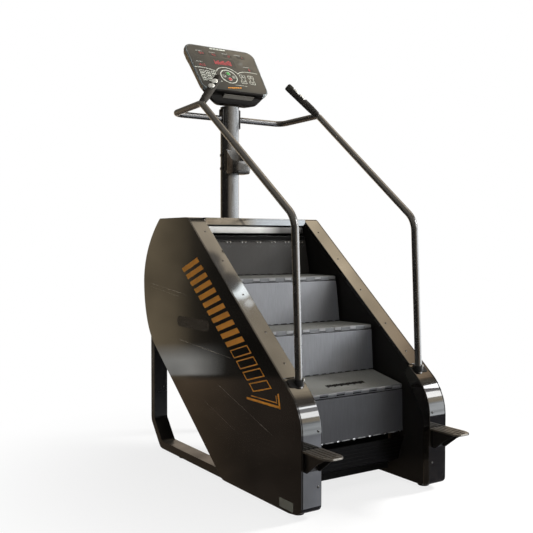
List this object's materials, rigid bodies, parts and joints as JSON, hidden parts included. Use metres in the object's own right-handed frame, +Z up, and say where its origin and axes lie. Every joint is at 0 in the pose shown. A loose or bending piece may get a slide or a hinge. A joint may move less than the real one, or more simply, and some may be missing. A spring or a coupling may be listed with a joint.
{
  "type": "stair climber",
  "caption": "Stepmill with a hinged flight of steps between two side housings, bent handrails with angled grips, a column with a bottle holder, and a tilted console",
  "frame": {"origin": "on the floor, under the middle of the footprint", "axes": "+Z up, +Y the direction the user climbs (entry at -Y, console at +Y), +X to the user's right"},
  "size_m": [0.8, 1.635, 2.1867],
  "materials": {
    "gloss_panel": "glossy black",
    "gloss_trim": "glossy black",
    "satin_sheet": "satin",
    "pedal_steel": "satin",
    "frame_paint": "satin",
    "step_aluminium": "ribbed satin",
    "machine_steel": "machined",
    "rail_paint": "satin gunmetal",
    "grip_rubber": "matte",
    "button_white": "gloss",
    "foot_rubber": "matte",
    "belt_rubber": "matte",
    "console_face": "satin",
    "dark_plastic": "satin",
    "circuit_board": "satin",
    "button_green": "gloss",
    "button_red": "gloss"
  },
  "bodies": {
    "frame": {"bottle_holder": "dark_plastic", "brake_unit": "dark_plastic", "console_back_shell": "dark_plastic", "console_column": "rail_paint", "console_face": "console_face", "control_board": "circuit_board", "drive_belt": "belt_rubber", "front_cross_beam": "frame_paint", "front_kick_cover": "satin_sheet", "left_base_rail": "frame_paint", "left_foot_pedal": "pedal_steel", "left_frame_truss": "frame_paint", "left_grip": "grip_rubber", "left_handrail": "rail_paint", "left_inner_wall": "satin_sheet", "left_lower_bearing": "machine_steel", "left_nose_cover": "gloss_trim", "left_side_panel": "gloss_panel", "left_top_trim": "gloss_trim", "left_upper_bearing": "machine_steel", "rear_cover": "gloss_panel", "rear_cross_beam": "frame_paint", "right_base_rail": "frame_paint", "right_foot_pedal": "pedal_steel", "right_frame_truss": "frame_paint", "right_grip": "grip_rubber", "right_handrail": "rail_paint", "right_inner_wall": "satin_sheet", "right_lower_bearing": "machine_steel", "right_nose_cover": "gloss_trim", "right_side_panel": "gloss_panel", "right_top_trim": "gloss_trim", "right_upper_bearing": "machine_steel", "top_cap": "gloss_trim", "upper_bridge_frame": "frame_paint"},
    "step_run": {"tread_0": "step_aluminium", "tread_1": "step_aluminium", "tread_2": "step_aluminium", "riser_0": "step_aluminium", "riser_1": "step_aluminium", "riser_2": "step_aluminium", "left_step_chain": "machine_steel", "right_step_chain": "machine_steel"},
    "lower_tread": {"tread_3": "step_aluminium"},
    "lower_riser": {"riser_3": "step_aluminium"},
    "return_run": {"return_steps": "step_aluminium"},
    "lower_shaft": {"lower_shaft": "machine_steel"},
    "upper_shaft": {"upper_shaft": "machine_steel", "drive_pulley": "machine_steel"},
    "brake_rotor": {"brake_pulley": "machine_steel"},
    "start_button": {"start_button": "button_green"},
    "stop_button": {"stop_button": "button_red"},
    "left_grip_button_1": {"left_grip_button_1": "button_white"},
    "left_grip_button_2": {"left_grip_button_2": "button_white"},
    "right_grip_button_1": {"right_grip_button_1": "button_white"},
    "right_grip_button_2": {"right_grip_button_2": "button_white"},
    "front_left_foot": {"front_left_foot": "foot_rubber"},
    "front_right_foot": {"front_right_foot": "foot_rubber"},
    "rear_left_foot": {"rear_left_foot": "foot_rubber"},
    "rear_right_foot": {"rear_right_foot": "foot_rubber"}
  },
  "joints": [
    {"name": "step_run_slide", "type": "slide", "parent": "frame", "child": "step_run", "axis": [0, -0.7771, -0.6293], "range_m": [0, 0.11]},
    {"name": "lower_tread_hinge", "type": "hinge", "parent": "step_run", "child": "lower_tread", "pos_m": [0, -0.2745, 0.485], "axis": [1, 0, 0], "range_deg": [0, 3.2]},
    {"name": "lower_riser_hinge", "type": "hinge", "parent": "lower_tread", "child": "lower_riser", "pos_m": [0, -0.4775, 0.437], "axis": [-1, 0, 0], "range_deg": [0, 3.2]},
    {"name": "return_run_slide", "type": "slide", "parent": "frame", "child": "return_run", "axis": [0, 0.7771, 0.6293], "range_m": [0, 0.11]},
    {"name": "lower_shaft_spin", "type": "hinge", "parent": "frame", "child": "lower_shaft", "pos_m": [0, -0.3511, 0.248], "axis": [1, 0, 0], "range_deg": [0, 55]},
    {"name": "upper_shaft_spin", "type": "hinge", "parent": "frame", "child": "upper_shaft", "pos_m": [0, 0.3525, 0.824], "axis": [1, 0, 0], "range_deg": [0, 55]},
    {"name": "brake_rotor_spin", "type": "hinge", "parent": "frame", "child": "brake_rotor", "pos_m": [0, 0.6125, 0.8], "axis": [1, 0, 0], "range_deg": [0, 157]},
    {"name": "start_button_press", "type": "slide", "parent": "frame", "child": "start_button", "axis": [0, 0.803, -0.596], "range_m": [0, 0.0015], "stiffness_N_per_m": 800},
    {"name": "stop_button_press", "type": "slide", "parent": "frame", "child": "stop_button", "axis": [0, 0.803, -0.596], "range_m": [0, 0.0015], "stiffness_N_per_m": 800},
    {"name": "left_grip_button_1_press", "type": "slide", "parent": "frame", "child": "left_grip_button_1", "axis": [0.4172, 0.5817, -0.6983], "range_m": [0, 0.0015], "stiffness_N_per_m": 800},
    {"name": "left_grip_button_2_press", "type": "slide", "parent": "frame", "child": "left_grip_button_2", "axis": [0.4172, 0.5817, -0.6983], "range_m": [0, 0.0015], "stiffness_N_per_m": 800},
    {"name": "right_grip_button_1_press", "type": "slide", "parent": "frame", "child": "right_grip_button_1", "axis": [-0.4172, 0.5817, -0.6983], "range_m": [0, 0.0015], "stiffness_N_per_m": 800},
    {"name": "right_grip_button_2_press", "type": "slide", "parent": "frame", "child": "right_grip_button_2", "axis": [-0.4172, 0.5817, -0.6983], "range_m": [0, 0.0015], "stiffness_N_per_m": 800},
    {"name": "front_left_foot_height", "type": "slide", "parent": "frame", "child": "front_left_foot", "axis": [0, 0, -1], "range_m": [0, 0.012]},
    {"name": "front_right_foot_height", "type": "slide", "parent": "frame", "child": "front_right_foot", "axis": [0, 0, -1], "range_m": [0, 0.012]},
    {"name": "rear_left_foot_height", "type": "slide", "parent": "frame", "child": "rear_left_foot", "axis": [0, 0, -1], "range_m": [0, 0.012]},
    {"name": "rear_right_foot_height", "type": "slide", "parent": "frame", "child": "rear_right_foot", "axis": [0, 0, -1], "range_m": [0, 0.012]}
  ],
  "couplings": [
    {"joint": "lower_tread_hinge", "follows": "step_run_slide", "rad_per_m": 0.5},
    {"joint": "lower_riser_hinge", "follows": "step_run_slide", "rad_per_m": 0.5},
    {"joint": "return_run_slide", "follows": "step_run_slide", "ratio": 1},
    {"joint": "lower_shaft_spin", "follows": "step_run_slide", "rad_per_m": 8.6957},
    {"joint": "upper_shaft_spin", "follows": "step_run_slide", "rad_per_m": 8.6957},
    {"joint": "brake_rotor_spin", "follows": "step_run_slide", "rad_per_m": 24.845}
  ]
}
